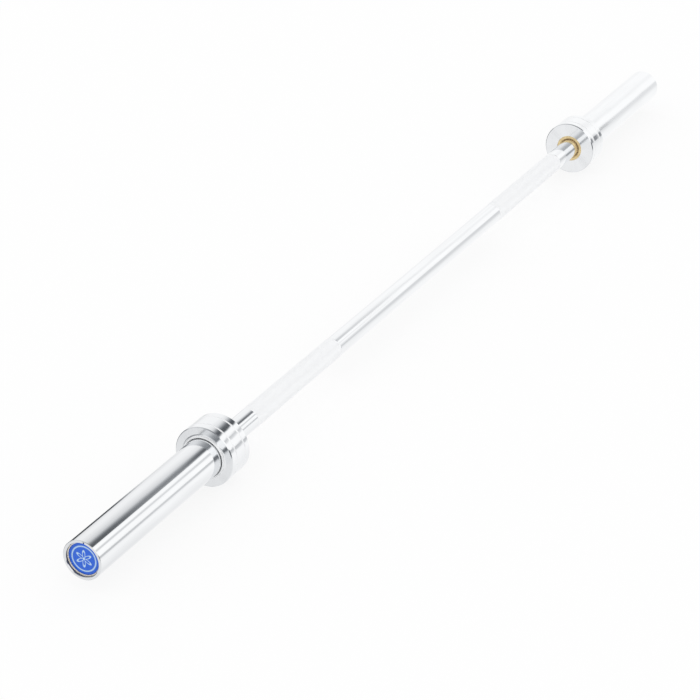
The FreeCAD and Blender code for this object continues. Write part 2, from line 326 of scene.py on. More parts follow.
def seat_pair(left, right, node):
    """Let two pieces ride on their sleeves, in place of the solids."""
    for side, piece in zip(SIDES, (left, right)):
        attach(piece, side + "_sleeve")
        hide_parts(f"{node}_{side}")


def paint(piece, material, chosen=None):
    """Give a piece a material, all over or on the faces that a test of centre and normal picks."""
    piece.data.materials.append(material)
    index = len(piece.data.materials) - 1
    for face in piece.data.polygons:
        if chosen is None or chosen(face.center, face.normal):
            face.material_index = index


def axis_distance(point):
    """Distance from the bar's axis."""
    return math.hypot(point.y, point.z)


# Shader nodes


def feed(tree, value, socket):
    """Join a socket to a node's output, or set it to a plain value."""
    if isinstance(value, bpy.types.NodeSocket):
        tree.links.new(value, socket)
    else:
        socket.default_value = value


def calculate(tree, operation, *values):
    """Result of a Math node."""
    node = tree.nodes.new("ShaderNodeMath")
    node.operation = operation
    for value, socket in zip(values, node.inputs):
        feed(tree, value, socket)
    return node.outputs["Value"]


def product(tree, first, *others):
    """Values multiplied together."""
    for value in others:
        first = calculate(tree, "MULTIPLY", first, value)
    return first


def remap(tree, value, low, high, to_low=0.0, to_high=1.0, smooth=False):
    """Result of a Map Range node, clamped."""
    node = tree.nodes.new("ShaderNodeMapRange")
    node.interpolation_type = "SMOOTHSTEP" if smooth else "LINEAR"
    for number, socket in zip((value, low, high, to_low, to_high), node.inputs):
        feed(tree, number, socket)
    return node.outputs["Result"]


def blend(tree, factor, first, second):
    """Colour between two colours."""
    node = tree.nodes.new("ShaderNodeMix")
    node.data_type = "RGBA"
    feed(tree, factor, node.inputs["Factor"])
    feed(tree, first, node.inputs[6])
    feed(tree, second, node.inputs[7])
    return node.outputs[2]


def combine(tree, x, y, z):
    """A vector from three values."""
    node = tree.nodes.new("ShaderNodeCombineXYZ")
    for value, socket in zip((x, y, z), node.inputs):
        feed(tree, value, socket)
    return node.outputs["Vector"]


def separate(tree, vector):
    """The three values of a vector."""
    node = tree.nodes.new("ShaderNodeSeparateXYZ")
    feed(tree, vector, node.inputs["Vector"])
    return node.outputs


def noise(tree, vector, scale, detail, roughness=0.5):
    """Value of a noise texture."""
    node = tree.nodes.new("ShaderNodeTexNoise")
    feed(tree, vector, node.inputs["Vector"])
    node.inputs["Scale"].default_value = scale
    node.inputs["Detail"].default_value = detail
    node.inputs["Roughness"].default_value = roughness
    return node.outputs["Fac"]


def new_group(name, inputs, outputs):
    """An empty group of nodes that takes and gives values."""
    group = bpy.data.node_groups.new(name, "ShaderNodeTree")
    for label, default in inputs.items():
        socket = group.interface.new_socket(name=label, in_out="INPUT", socket_type="NodeSocketFloat")
        socket.default_value = default
    for label in outputs:
        group.interface.new_socket(name=label, in_out="OUTPUT", socket_type="NodeSocketFloat")
    return group, group.nodes.new("NodeGroupInput"), group.nodes.new("NodeGroupOutput")


def bar_coordinates():
    """Shared group: place along the bar, distance from its axis and angle round it from the top."""
    group, _, gives = new_group("bar_coordinates", {}, ("Along", "Radius", "Angle"))
    place = separate(group, group.nodes.new("ShaderNodeTexCoord").outputs["Object"])
    squares = [product(group, place[axis], place[axis]) for axis in ("Y", "Z")]
    feed(group, place["X"], gives.inputs["Along"])
    feed(group, calculate(group, "SQRT", calculate(group, "ADD", *squares)), gives.inputs["Radius"])
    feed(group, calculate(group, "ARCTAN2", place["Y"], place["Z"]), gives.inputs["Angle"])
    return group


def lathe_marks():
    """Shared group: fine lines that a tool draws round the axis, and the faint haze of polishing."""
    haze_stretch = 0.02
    inputs = {"Across": 0.0, "Angle": 0.0, "Pitch": 0.001, "Breaks": 3.0}
    group, takes, gives = new_group("lathe_marks", inputs, ("Height", "Haze"))
    across = calculate(group, "DIVIDE", takes.outputs["Across"], takes.outputs["Pitch"])
    around = [
        product(group, calculate(group, wave, takes.outputs["Angle"]), takes.outputs["Breaks"])
        for wave in ("SINE", "COSINE")
    ]
    lines = noise(group, combine(group, across, *around), scale=1.0, detail=4.0, roughness=0.62)
    slow = product(group, across, haze_stretch)
    haze = noise(group, combine(group, slow, *around), scale=0.9, detail=3.0)
    feed(group, lines, gives.inputs["Height"])
    feed(group, remap(group, haze, 0.35, 0.7, smooth=True), gives.inputs["Haze"])
    return group


def place_group(tree, group, **values):
    """A shared group in a material, with its own values."""
    node = tree.nodes.new("ShaderNodeGroup")
    node.node_tree = group
    for label, value in values.items():
        feed(tree, value, node.inputs[label])
    return node.outputs


def new_material():
    """A material with a Principled shader, and the bar's coordinates in it."""
    material = bpy.data.materials.new("finish")
    material.use_nodes = True
    tree = material.node_tree
    coordinates = place_group(tree, shared_group("bar_coordinates"))
    return material, tree, tree.nodes["Principled BSDF"], coordinates


def shared_group(name):
    """A shared group, built the first time that it is asked for."""
    builders = {"bar_coordinates": bar_coordinates, "lathe_marks": lathe_marks}
    return bpy.data.node_groups.get(name) or builders[name]()


def bump(tree, shader, height, distance):
    """Raise a shader's surface by a height of 0 to 1 times a distance."""
    node = tree.nodes.new("ShaderNodeBump")
    node.inputs["Distance"].default_value = distance
    feed(tree, height, node.inputs["Height"])
    feed(tree, node.outputs["Normal"], shader.inputs["Normal"])


def shade(tint, share):
    """A colour made darker."""
    return (*(share * part for part in tint[:3]), 1.0)


def turned_metal(tint, across, pitch, depth, roughness, dull=None, metal=1.0, breaks=3.0):
    """Metal off the lathe: tool lines, counted along the bar or out from its axis, and a dulling haze.

    A blasted, porous or fine-grained finish scatters light as well, so only a share of it is metal.
    """
    material, tree, shader, coordinates = new_material()
    marks = place_group(
        tree,
        shared_group("lathe_marks"),
        Across=coordinates[across],
        Angle=coordinates["Angle"],
        Pitch=pitch,
        Breaks=breaks,
    )
    if dull is None:
        dull = shade(tint, 0.97)
    shader.inputs["Metallic"].default_value = metal
    feed(tree, blend(tree, marks["Haze"], tint, dull), shader.inputs["Base Color"])
    feed(tree, remap(tree, marks["Haze"], 0.0, 1.0, *roughness), shader.inputs["Roughness"])
    bump(tree, shader, marks["Height"], depth)
    return material


def sleeve_plating(finishes):
    """Bright plating on the sleeves, with faint lines round them."""
    return turned_metal(finishes.chrome, "Along", pitch=0.0012, depth=2.5e-6, roughness=(0.05, 0.10))


def shaft_plating(finishes):
    """Bright plating on the plain stretches of the shaft."""
    return turned_metal(finishes.chrome, "Along", pitch=0.0015, depth=2.0e-6, roughness=(0.06, 0.11))


def rim_chrome(finishes):
    """Bright plating on the collars' rims."""
    return turned_metal(finishes.chrome, "Along", pitch=0.0010, depth=6.0e-7, roughness=(0.03, 0.07))


def faced_chrome(finishes):
    """Satin plating on flat faces: the rings left by facing draw reflections out towards the axis."""
    material = turned_metal(finishes.faced, "Radius", pitch=0.0009, depth=1.5e-6, roughness=(0.11, 0.17))
    tree = material.node_tree
    shader = tree.nodes["Principled BSDF"]
    tangent = tree.nodes.new("ShaderNodeTangent")
    tangent.direction_type = "RADIAL"
    tangent.axis = "X"
    feed(tree, tangent.outputs["Tangent"], shader.inputs["Tangent"])
    shader.inputs["Anisotropic"].default_value = 0.6
    shader.inputs["Anisotropic Rotation"].default_value = 0.25
    return material


def knurl_plating(finishes):
    """Satin plating on the knurled bands."""
    tint = finishes.satin
    look = {"roughness": (0.30, 0.42), "dull": shade(tint, 0.98), "metal": 0.12}
    return turned_metal(tint, "Along", pitch=0.0007, depth=3.0e-6, breaks=9.0, **look)


def satin_plating(finishes):
    """Satin plating in the grooves and on the beads of the collars."""
    tint = finishes.satin
    look = {"roughness": (0.30, 0.42), "dull": shade(tint, 0.98), "metal": 0.25}
    return turned_metal(tint, "Along", pitch=0.0007, depth=4.0e-6, **look)


def bore_steel_and_shade(finishes):
    """Unplated steel in the sleeve's mouth, made much darker with painted shade for the recess."""
    tint = finishes.bare_steel_and_shade
    look = {"roughness": (0.22, 0.36), "dull": shade(tint, 0.7)}
    return turned_metal(tint, "Along", pitch=0.0006, depth=8.0e-6, **look)


def plain_steel_and_root_shade(finishes):
    """Ground steel of the washers and end caps. On the roots of the collars' beads it is painted shade: a
    dark line where the bead meets the sleeve.
    """
    tint = finishes.plain_steel_and_root_shade
    look = {"roughness": (0.22, 0.36), "dull": shade(tint, 0.85)}
    return turned_metal(tint, "Radius", pitch=0.0007, depth=8.0e-6, **look)


def bushing_bronze(finishes):
    """Porous turned bronze, a little dulled in patches."""
    look = {"roughness": (0.24, 0.38), "dull": finishes.bronze_tarnish, "metal": 0.35}
    return turned_metal(finishes.bronze, "Radius", pitch=0.0008, depth=6.0e-6, **look)


def shaded_bronze(finishes):
    """Bronze painted a darker brown as shade, in the lead-in and bore of a bushing round the shaft."""
    tint = finishes.bronze_painted_shade
    look = {"roughness": (0.5, 0.65), "dull": shade(tint, 0.85), "metal": 0.0}
    return turned_metal(tint, "Radius", pitch=0.0008, depth=6.0e-6, **look)


def spring_wire(finishes):
    """Warm bright wire of the snap rings and retaining rings."""
    tint = finishes.spring
    look = {"roughness": (0.18, 0.32), "dull": shade(tint, 0.9), "metal": 0.4}
    return turned_metal(tint, "Radius", pitch=0.0005, depth=5.0e-6, **look)


def between(tree, value, low, high, soft):
    """Mask that is 1 where a value lies between two limits, with soft edges."""
    rise = remap(tree, value, low - soft, low + soft, smooth=True)
    fall = remap(tree, value, high - soft, high + soft, 1.0, 0.0, smooth=True)
    return product(tree, rise, fall)


def disc_enamel(finishes):
    """Glossy blue with a pale ornament: a rosette of petals inside a ring."""
    petals = 6
    valley_share, tip_share = 0.20, 0.56
    petal_line_share = 0.13
    hub_share = 0.08
    ring_shares = (0.74, 0.82)
    soft_share = 0.03
    print_height = 2.0e-5
    material, tree, shader, coordinates = new_material()
    share = calculate(tree, "DIVIDE", coordinates["Radius"], DISC_R)
    wave = calculate(tree, "COSINE", product(tree, coordinates["Angle"], petals))
    reach = remap(tree, wave, -1.0, 1.0, valley_share, tip_share)
    inside = calculate(tree, "SUBTRACT", reach, share)
    rosette = between(tree, inside, 0.0, petal_line_share, soft_share)
    hub = remap(tree, share, hub_share - soft_share, hub_share + soft_share, 1.0, 0.0, smooth=True)
    ring = between(tree, share, *ring_shares, soft_share)
    ornament = calculate(tree, "MAXIMUM", calculate(tree, "MAXIMUM", rosette, hub), ring)
    place = tree.nodes.new("ShaderNodeTexCoord").outputs["Object"]
    flow = noise(tree, place, scale=420.0, detail=3.0)
    enamel = blend(tree, remap(tree, flow, 0.3, 0.7), finishes.disc, shade(finishes.disc, 0.85))
    feed(tree, blend(tree, ornament, enamel, finishes.disc_print), shader.inputs["Base Color"])
    feed(tree, remap(tree, flow, 0.3, 0.7, 0.22, 0.32), shader.inputs["Roughness"])
    bump(tree, shader, calculate(tree, "ADD", ornament, product(tree, flow, 0.4)), print_height)
    return material


def material_of(context, builder):
    """A finish by its builder, made once and named after it."""
    material = bpy.data.materials.get(builder.__name__)
    if material is None:
        material = builder(context.scene.barbell_finishes)
        material.name = builder.__name__
    return material


# Pieces


class BARBELL_OT_add_shaft(bpy.types.Operator):
    """Turn the shaft, with a diamond knurl on each half and a journal at each end"""

    bl_idname = "barbell.add_shaft"
    bl_label = "Shaft"

    def execute(self, context):
        sizes = context.scene.barbell_sizes
        root = KNURL_CREST_R - sizes.knurl_depth
        knurl_end = COLLAR_INNER_X - sizes.knurl_setback
        knurl_start = knurl_end - sizes.knurl_length
        segments = 2 * sizes.knurl_columns
        facet_angle = math.radians(5)

        middle = [(0.0, sizes.grip_radius), (knurl_start - sizes.knurl_runout, sizes.grip_radius)]
        journal = sizes.grip_radius - sizes.shoulder_step
        groove = journal - sizes.clip_groove_depth
        shoulder_x = SHOULDER_WASHER_X - sizes.end_float
        groove_start = CLIP_INNER_X - sizes.side_clearance
        groove_end = CLIP_OUTER_X + sizes.side_clearance
        end = [
            (knurl_end + sizes.knurl_runout, sizes.grip_radius),
            (shoulder_x - sizes.shoulder_chamfer, sizes.grip_radius),
            (shoulder_x, sizes.grip_radius - sizes.shoulder_chamfer),
            (shoulder_x, journal),
            (groove_start, journal),
            (groove_start, groove),
            (groove_end, groove),
            (groove_end, journal),
            (SHAFT_END_X - sizes.shaft_chamfer, journal),
            (SHAFT_END_X, journal - sizes.shaft_chamfer),
        ]
        half = [
            turned_piece("shaft_end", end, segments, ends="capped"),
            self.knurled_band(sizes, root, knurl_start, knurl_end),
            turned_piece("shaft_bar", middle, segments, ends="open"),
        ]
        for part in half:
            part.select_set(True)
        bpy.ops.object.join()
        bar = bpy.context.object
        bpy.ops.object.mode_set(mode="EDIT")
        for place in (knurl_start, knurl_end):
            reach = 2 * sizes.knurl_runout
            select_edges(bar, lambda e: e.is_boundary and all(abs(v.co.x - place) < reach for v in e.verts))
            bpy.ops.mesh.bridge_edge_loops()
        close_up(bar)
        apply_modifier(bar, "MIRROR", use_axis=(True, False, False), merge_threshold=MERGE_DISTANCE)
        bpy.ops.object.mode_set(mode="EDIT")
        close_up(bar)
        bpy.ops.object.shade_smooth_by_angle(angle=facet_angle)

        def knurled(center, _):
            return knurl_start < abs(center.x) < knurl_end

        paint(bar, material_of(context, shaft_plating))
        paint(bar, material_of(context, knurl_plating), knurled)
        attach(bar, "shaft")
        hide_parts("shaft")
        return {"FINISHED"}

    def knurled_band(self, sizes, root, start, end):
        """A net of squares is poked and its straight edges dissolved, and each diamond left is raised."""
        width = FULL_TURN * root / sizes.knurl_columns
        rows = round((end - start) * math.tan(sizes.knurl_helix) / width)
        bpy.ops.object.select_all(action="DESELECT")
        bpy.ops.mesh.primitive_cylinder_add(
            vertices=sizes.knurl_columns,
            radius=root,
            depth=end - start,
            end_fill_type="NOTHING",
            location=((start + end) / 2, 0, 0),
            rotation=(0, QUARTER_TURN, 0),
        )
        band = start_piece("knurled_band")
        bpy.ops.object.mode_set(mode="EDIT")
        select_edges(band, lambda e: not e.is_boundary)
        bpy.ops.mesh.subdivide(number_cuts=rows - 1)
        bpy.ops.mesh.select_all(action="SELECT")
        bpy.ops.mesh.normals_make_consistent(inside=False)
        bpy.ops.mesh.poke()

        def straight(edge):
            run = edge.verts[0].co - edge.verts[1].co
            tiny = width / 1000
            return not edge.is_boundary and (abs(run.x) < tiny or math.hypot(run.y, run.z) < tiny)

        select_edges(band, straight)
        bpy.ops.mesh.dissolve_edges(use_verts=False)
        bpy.ops.mesh.select_mode(type="FACE")
        bpy.ops.mesh.select_all(action="SELECT")
        bpy.ops.mesh.inset(thickness=sizes.knurl_bank, depth=sizes.knurl_depth, use_individual=True)
        bpy.ops.object.mode_set(mode="OBJECT")
        return band


class BARBELL_OT_add_sleeves(bpy.types.Operator):
    """Turn the chromed tubes that plates slide on"""

    bl_idname = "barbell.add_sleeves"
    bl_label = "Sleeves"

    def execute(self, context):
        sizes = context.scene.barbell_sizes
        spigot = SLEEVE_R - sizes.spigot_step
        mouth = SLEEVE_R - sizes.mouth_wall
        groove = mouth + sizes.ring_groove_depth
        groove_inner_x = RING_INNER_X - sizes.side_clearance
        groove_outer_x = RING_OUTER_X + sizes.side_clearance
        seat = mouth - sizes.cap_seat
        bore = seat - sizes.bushing_step
        outline = [
            (SPIGOT_X, spigot),
            (NECK_END_X, spigot),
            (NECK_END_X, SLEEVE_R),
            (SLEEVE_END_X - sizes.sleeve_chamfer, SLEEVE_R),
            (SLEEVE_END_X, SLEEVE_R - sizes.sleeve_chamfer),
            (SLEEVE_END_X, mouth + sizes.mouth_chamfer),
            (SLEEVE_END_X - sizes.mouth_chamfer, mouth),
            (groove_outer_x, mouth),
            (groove_outer_x, groove),
            (groove_inner_x, groove),
            (groove_inner_x, mouth),
            (CAP_SEAT_X, mouth),
            (CAP_SEAT_X, seat),
            (OUTER_STEP_X, seat),
            (OUTER_STEP_X, bore),
            (INNER_STEP_X, bore),
            (INNER_STEP_X, seat),
            (SPIGOT_X, seat),
        ]
        right = turned_piece("sleeve_body_right", outline, sizes.ring_segments)
        left = turned_round(right, "sleeve_body_left")

        def end_face(center, normal):
            return abs(center.x) > groove_outer_x and abs(normal.x) > 0.5

        # Faces inside the mouth, which take the dark steel with painted shade
        def inside(center, _):
            deep = abs(center.x) < SLEEVE_END_X - sizes.mouth_chamfer
            return deep and axis_distance(center) < mouth + sizes.slot_depth

        for hand, tube in ((-1, left), (1, right)):
            self.cut_slot(sizes, tube, hand, groove_outer_x, mouth)
            break_edges(tube, sizes.edge_break)
            paint(tube, material_of(context, sleeve_plating))
            # Painted shade: the bore inside the mouth gets dark steel
            paint(tube, material_of(context, bore_steel_and_shade), inside)
            paint(tube, material_of(context, faced_chrome), end_face)
        seat_pair(left, right, "sleeve_tube")
        return {"FINISHED"}

    def cut_slot(self, sizes, tube, hand, groove_outer_x, mouth):
        """Cut the slot in a sleeve's lip where a tool reaches the end of the snap ring."""
        overrun = sizes.slot_width
        start_x = groove_outer_x - sizes.side_clearance
        end_x = SLEEVE_END_X + overrun
        bottom = mouth - overrun
        top = mouth + sizes.slot_depth
        bpy.ops.object.select_all(action="DESELECT")
        bpy.ops.mesh.primitive_cube_add(
            size=1.0,
            location=(hand * (start_x + end_x) / 2, 0, (bottom + top) / 2),
            scale=(end_x - start_x, sizes.slot_width, top - bottom),
        )
        block = start_piece("slot_block")
        lean(block, sizes.gap_angle)
        apply_modifier(tube, "BOOLEAN", object=block, operation="DIFFERENCE", solver="EXACT")
        bpy.data.objects.remove(block)


class BARBELL_OT_add_collars(bpy.types.Operator):
    """Turn the grooved collars that stop the plates"""

    bl_idname = "barbell.add_collars"
    bl_label = "Collars"

    def execute(self, context):
        sizes = context.scene.barbell_sizes
        outer_x = COLLAR_INNER_X + sizes.collar_width
        neck = SLEEVE_R + sizes.neck_height
        socket = SLEEVE_R - sizes.spigot_step + sizes.fit
        web_x = COLLAR_INNER_X + sizes.collar_web
        seat = BUSHING_R + sizes.fit
        pocket = FLANGE_R + sizes.fit
        flange_back_x = FLANGE_X + sizes.flange_thickness
        neck_center = (NECK_END_X - sizes.neck_round, neck - sizes.neck_round)
        bead_end = -0.6 * QUARTER_TURN
        # Share of each bead's rounding, up from its lowest point, that gets painted shade
        root_shade_share = 1 / 3
        inner_side = [
            (COLLAR_INNER_X, pocket),
            (COLLAR_INNER_X, COLLAR_R - sizes.collar_bevel),
            (COLLAR_INNER_X + sizes.collar_bevel, COLLAR_R),
        ]
        outer_side = [
            (outer_x - sizes.collar_bevel, COLLAR_R),
            (outer_x, COLLAR_R - sizes.collar_bevel),
        ]
        outer_side += self.hollow(sizes, outer_x, neck)
        bead = arc(neck_center, sizes.neck_round, QUARTER_TURN, bead_end, steps=14)
        bore = [
            (bead[-1][0], socket),
            (web_x, socket),
            (web_x, seat),
            (flange_back_x, seat),
            (flange_back_x, pocket),
        ]
        groove_middles = (COLLAR_INNER_X + sizes.groove_setback, outer_x - sizes.groove_setback)
        grooves = [point for middle in groove_middles for point in self.groove(sizes, middle)]
        ring = turned_piece(
            "collar_ring", inner_side + grooves + outer_side + bead + bore, sizes.ring_segments
        )
        break_edges(ring, sizes.edge_break)

        def flat_face(center, normal):
            on_face = min(abs(center.x - COLLAR_INNER_X), abs(center.x - outer_x)) < sizes.edge_break
            return on_face and abs(normal.x) > 0.9

        def in_groove(center, _):
            beside = min(abs(center.x - middle) for middle in groove_middles) < sizes.groove_width / 2
            return beside and axis_distance(center) > neck + sizes.neck_hollow

        def on_bead(center, _):
            return center.x > outer_x + sizes.neck_land

        # Painted shade: the lowest part of each bead gets darker steel, a dark line where the bead meets
        # the sleeve
        def painted_root_shade(center, normal):
            low = axis_distance(center) < neck_center[1] - root_shade_share * sizes.neck_round
            return low and on_bead(center, normal)

        paint(ring, material_of(context, rim_chrome))
        paint(ring, material_of(context, faced_chrome), flat_face)
        paint(ring, material_of(context, satin_plating), in_groove)
        paint(ring, material_of(context, satin_plating), on_bead)
        # Painted shade along the roots of the beads
        paint(ring, material_of(context, plain_steel_and_root_shade), painted_root_shade)
        finish_pair(ring, "collar_ring", "collar")
        return {"FINISHED"}

    def hollow(self, sizes, face_x, neck):
        """Outline of the hollow that leads from the outer face into the bead."""
        steps = 8
        angles = [QUARTER_TURN * step / steps for step in range(steps + 1)]
        return [
            (face_x + sizes.neck_land * (1 - math.cos(a)), neck + sizes.neck_hollow * (1 - math.sin(a)))
            for a in angles
        ]

    def groove(self, sizes, middle):
        """Outline of a round-bottomed groove."""
        steps = 10
        points = []
        for step in range(steps + 1):
            share = 2 * step / steps - 1
            drop = sizes.groove_depth * math.cos(share * QUARTER_TURN) ** 2
            points.append((middle + share * sizes.groove_width / 2, COLLAR_R - drop))
        return points


class BARBELL_OT_add_bushings(bpy.types.Operator):
    """Turn the flanged bronze bushings that show in the collars"""

    bl_idname = "barbell.add_bushings"
    bl_label = "Bushings"

    def execute(self, context):
        sizes = context.scene.barbell_sizes
        recess = sizes.grip_radius + sizes.recess_gap
        bore = sizes.grip_radius - sizes.shoulder_step + sizes.bore_clearance
        flange_back_x = FLANGE_X + sizes.flange_thickness
        outline = [
            (FLANGE_X, recess + sizes.recess_lead_in),
            (FLANGE_X, FLANGE_R),
            (flange_back_x, FLANGE_R),
            (flange_back_x, BUSHING_R),
            (INNER_STEP_X, BUSHING_R),
            (INNER_STEP_X, bore),
            (RECESS_X, bore),
            (RECESS_X, recess),
            (FLANGE_X + sizes.recess_lead_in, recess),
        ]
        bushing = turned_piece("bushing", outline, sizes.ring_segments)
        break_edges(bushing, sizes.edge_break)

        # Faces of the lead-in and recess round the shaft, which get the painted shade
        def shaded_round_shaft(center, _):
            return axis_distance(center) < recess + sizes.recess_lead_in - sizes.edge_break

        paint(bushing, material_of(context, bushing_bronze))
        # Painted shade in the bushing's lead-in and recess
        paint(bushing, material_of(context, shaded_bronze), shaded_round_shaft)
        finish_pair(bushing, "bushing", "inner_bushing")
        return {"FINISHED"}


class BARBELL_OT_add_discs(bpy.types.Operator):
    """Make the blue discs that sit on the end caps"""

    bl_idname = "barbell.add_discs"
    bl_label = "End discs"

    def execute(self, context):
        sizes = context.scene.barbell_sizes
        rim_center = (DISC_FACE_X - sizes.disc_round, DISC_R - sizes.disc_round)
        outline = [(DISC_BACK_X, DISC_R)]
        outline += arc(rim_center, sizes.disc_round, QUARTER_TURN, 0.0, steps=6)
        outline += [(DISC_FACE_X, DISC_R / 2)]
        disc = turned_piece("blue_disc", outline, sizes.ring_segments, ends="capped")
        bpy.ops.object.mode_set(mode="EDIT")
        select_edges(disc, lambda e: e.is_boundary)
        bpy.ops.mesh.edge_face_add()
        close_up(disc)
        bpy.ops.object.shade_smooth()
        apply_modifier(disc, "WEIGHTED_NORMAL", mode="FACE_AREA", weight=100)
        paint(disc, material_of(context, disc_enamel))
        finish_pair(disc, "blue_disc", "end_disc")
        return {"FINISHED"}


class BARBELL_OT_add_snap_rings(bpy.types.Operator):
    """Bend the wire rings that hold the end caps, open at the top"""

    bl_idname = "barbell.add_snap_rings"
    bl_label = "Snap rings"

    def execute(self, context):
        sizes = context.scene.barbell_sizes
        middle = RING_R - sizes.ring_width / 2
        thickness = RING_OUTER_X - RING_INNER_X
        opening = sizes.ring_gap / middle
        round_share = 0.45
        bpy.ops.object.select_all(action="DESELECT")
        bpy.ops.mesh.primitive_plane_add(size=1.0, location=(0, 0, 0))
        ring = start_piece("snap_wire")
        bpy.ops.object.mode_set(mode="EDIT")
        bpy.ops.transform.resize(value=(thickness, sizes.ring_width, 1), center_override=(0, 0, 0))
        bpy.ops.transform.rotate(value=QUARTER_TURN, orient_axis="X", center_override=(0, 0, 0))
        bpy.ops.transform.translate(value=((RING_INNER_X + RING_OUTER_X) / 2, 0, middle))
        bpy.ops.transform.rotate(value=opening / 2, orient_axis="X", center_override=(0, 0, 0))
        bpy.ops.mesh.spin(steps=160, angle=FULL_TURN - opening, center=(0, 0, 0), axis=(1, 0, 0))
        close_up(ring)
        break_edges(ring, round_share * thickness, segments=5)
        paint(ring, material_of(context, spring_wire))
        for piece in finish_pair(ring, "snap_wire", "end_cap_snap_ring"):
            lean(piece, sizes.gap_angle)
        return {"FINISHED"}


class BARBELL_OT_finish_inner_pieces(bpy.types.Operator):
    """Give the solids inside the sleeves their metal finishes"""

    bl_idname = "barbell.finish_inner_pieces"
    bl_label = "Inner pieces"

    FINISHES = {
        "outer_bushing": bushing_bronze,
        "shoulder_washer": plain_steel_and_root_shade,
        "outer_thrust_washer": plain_steel_and_root_shade,
        "shaft_retaining_ring": spring_wire,
        "end_cap": plain_steel_and_root_shade,
    }

    def execute(self, context):
        for name, builder in self.FINISHES.items():
            for side in SIDES:
                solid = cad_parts[f"{name}_{side}"]
                solid.data.materials.clear()
                solid.data.materials.append(material_of(context, builder))
        return {"FINISHED"}


# Stage

# Grey levels that polished metal meets in the room, by the angle in degrees from the near horizon upwards:
# those behind the camera, those that the near sleeve meets, those round the near collar, and the rest
BEHIND_BANDS = (
    (-180, 0.88), (-120, 0.90), (-88, 0.88), (-34, 0.90), (-18, 0.86), (-12, 0.65), (-8, 0.35),
    (8, 0.35), (12, 0.70), (17, 1.0), (60, 1.0), (64, 0.68), (67, 0.46), (76, 0.46), (90, 0.52),
    (105, 0.60), (117, 0.71), (129, 0.80), (147, 0.88), (180, 0.88),
)
NEAR_BANDS = (
    (-180, 0.78), (-150, 0.86), (-120, 0.88), (-100, 0.84), (-84, 0.81), (-60, 0.86), (-30, 0.94),
    (-14, 0.95), (-9, 0.80), (-6, 0.54), (1, 0.54), (4, 0.86), (7, 1.0), (29, 1.0), (33, 0.68),
    (39, 0.64), (44, 1.0), (60, 1.0), (62.5, 0.11), (73, 0.11), (80, 0.16), (87, 0.31), (93, 0.52),
    (100, 0.67), (116, 0.79), (135, 0.88), (155, 0.90), (180, 0.78),
)
COLLAR_BANDS = (
    (-180, 0.90), (-171, 0.80), (-160, 0.80), (-150, 0.90), (-124, 0.95), (-100, 0.89), (-76, 0.88),
    (-46, 0.92), (-20, 0.97), (-10, 0.93), (-5, 0.60), (3, 0.52), (7, 1.0), (29, 1.0), (34, 0.72),
    (42, 0.58), (46, 0.95), (50, 1.0), (63, 1.0), (69.5, 0.09), (80, 0.09), (86, 0.20), (92, 0.42),
    (98, 0.66), (106, 0.84), (120, 0.92), (165, 0.95), (180, 0.90),
)
FAR_BANDS = (
    (-180, 0.92), (-130, 0.98), (-80, 0.96), (-36, 0.94), (-20, 0.87), (-8, 0.76), (2, 0.69),
    (14, 0.68), (20, 0.76), (26, 0.92), (31, 1.0), (62, 1.0), (68, 0.95), (80, 0.90), (92, 0.93),
    (104, 0.98), (150, 0.98), (168, 0.93), (180, 0.92),
)
# Where one set of bands gives way to the next, by how far a reflection looks along the bar: -1 to 1
NEAR_START = (0.55, 0.66)
COLLAR_START = (0.744, 0.752)
FAR_START = (0.762, 0.812)


